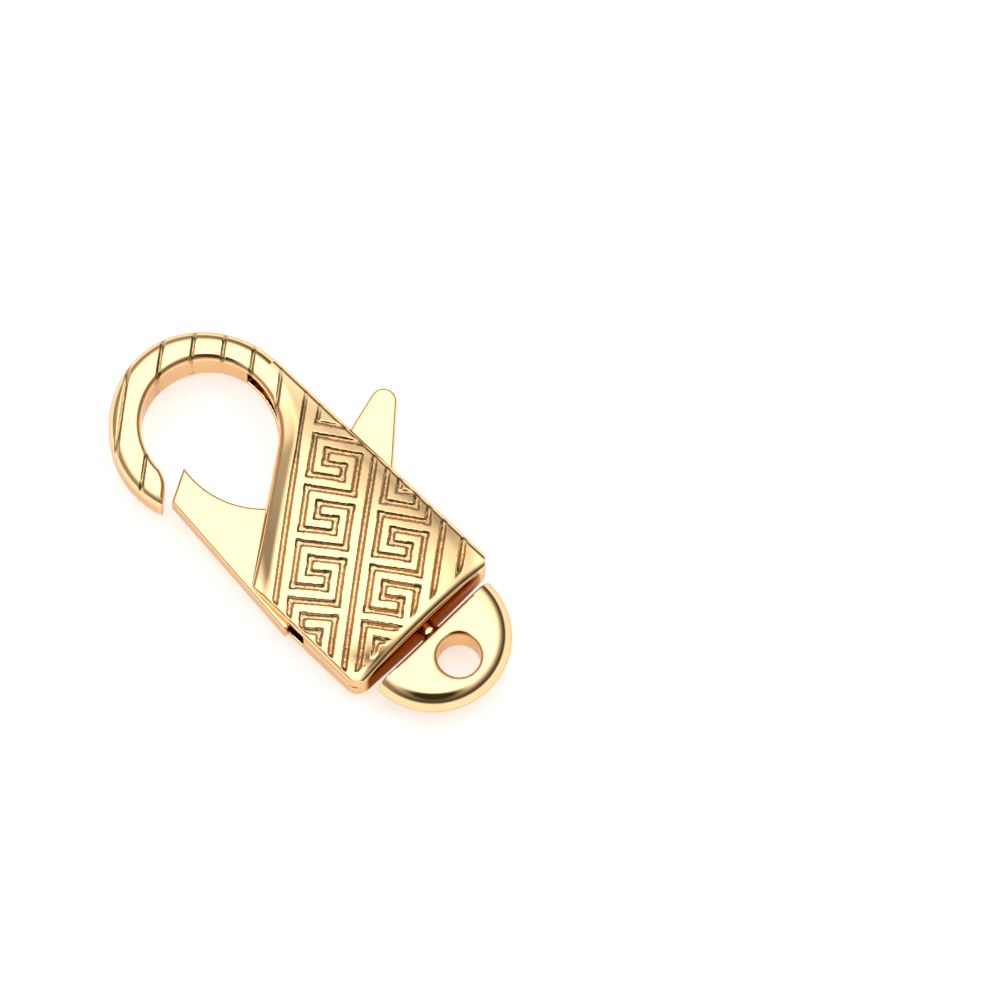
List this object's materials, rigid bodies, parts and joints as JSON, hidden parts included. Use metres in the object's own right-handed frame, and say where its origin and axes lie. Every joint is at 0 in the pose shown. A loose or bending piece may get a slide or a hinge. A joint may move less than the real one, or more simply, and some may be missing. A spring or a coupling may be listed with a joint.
{
  "type": "lobster clasp",
  "caption": "Lobster clasp with a sprung gate lever, a thumb tab, a swivel eye and a key pattern on both faces.",
  "frame": {"origin": "middle of the ring hole in the swivel eye", "axes": "+X along the clasp from the eye to the hook, +Y to the gate side, +Z out of one face"},
  "size_m": [0.0311, 0.0162, 0.0052],
  "materials": {
    "body": "mirror polished, light gold plated",
    "lever": "mirror polished, light gold plated",
    "pin": "plain",
    "eye": "mirror polished, light gold plated"
  },
  "bodies": {
    "body": {"body": "body", "pivot_pin": "pin"},
    "lever": {"gate_lever": "lever"},
    "swivel": {"swivel_eye": "eye"}
  },
  "joints": [
    {"name": "gate_hinge", "type": "hinge", "parent": "body", "child": "lever", "pos_m": [0.0113, -0.0017, 0], "axis": [0, 0, 1], "range_deg": [-40, 0], "stiffness_Nm_per_rad": 0.004, "springref_deg": 20.05},
    {"name": "swivel", "type": "hinge", "parent": "body", "child": "swivel", "pos_m": [0.0029, 0, 0], "axis": [1, 0, 0], "continuous": true}
  ]
}
